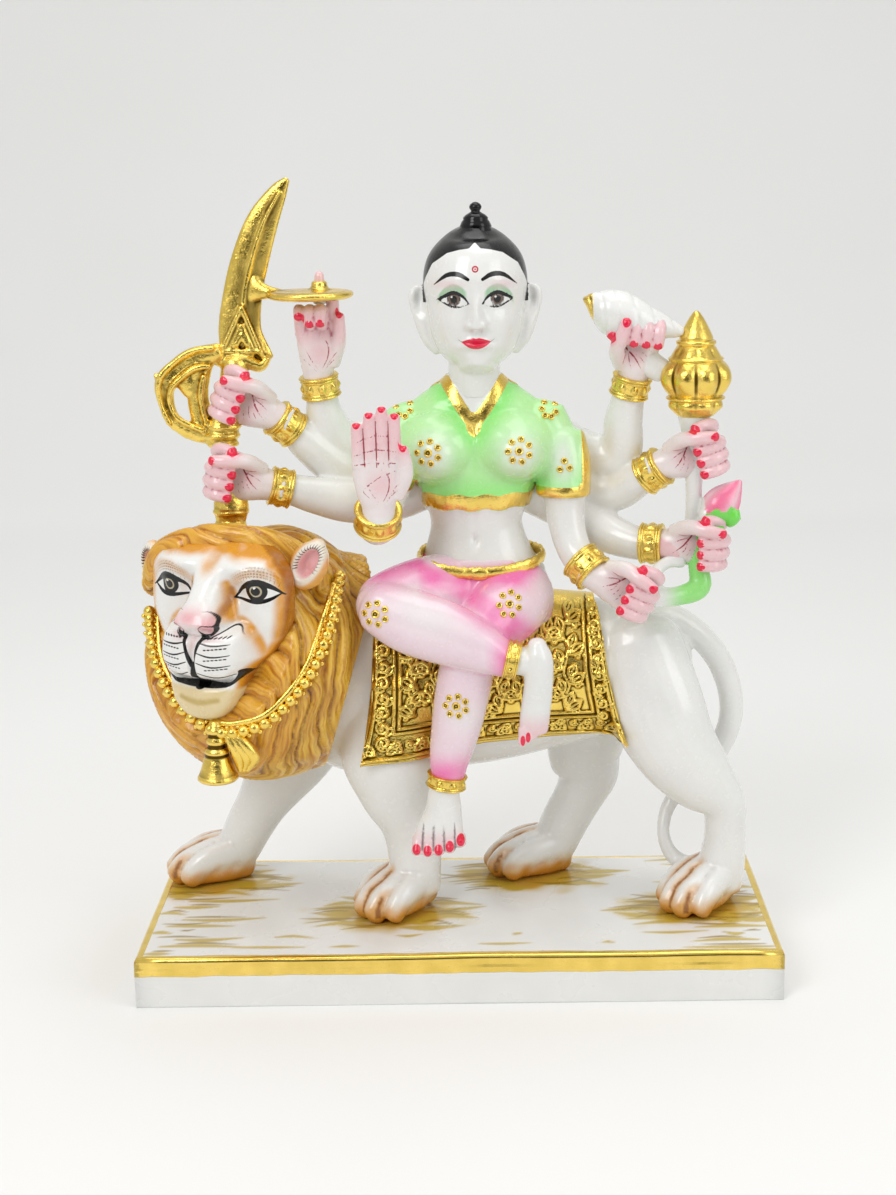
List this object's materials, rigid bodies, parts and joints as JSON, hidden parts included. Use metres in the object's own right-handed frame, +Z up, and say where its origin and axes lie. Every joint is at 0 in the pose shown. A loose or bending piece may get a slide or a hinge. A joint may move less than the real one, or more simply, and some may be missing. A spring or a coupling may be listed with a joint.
{
  "type": "durga figure",
  "caption": "Painted and gilt marble figure of the goddess Durga with many arms, seated across a walking lion, carved in one block with its rectangular plinth.",
  "frame": {"origin": "middle of the plinth's underside", "axes": "+Z up, the goddess and the front of the plinth face -Y, +X to a viewer's right along the plinth's length"},
  "size_m": [0.296, 0.12, 0.3688],
  "materials": {
    "marble": "polished white marble, painted and gilt"
  },
  "bodies": {
    "root": {"durga_on_lion": "marble"}
  },
  "joints": []
}
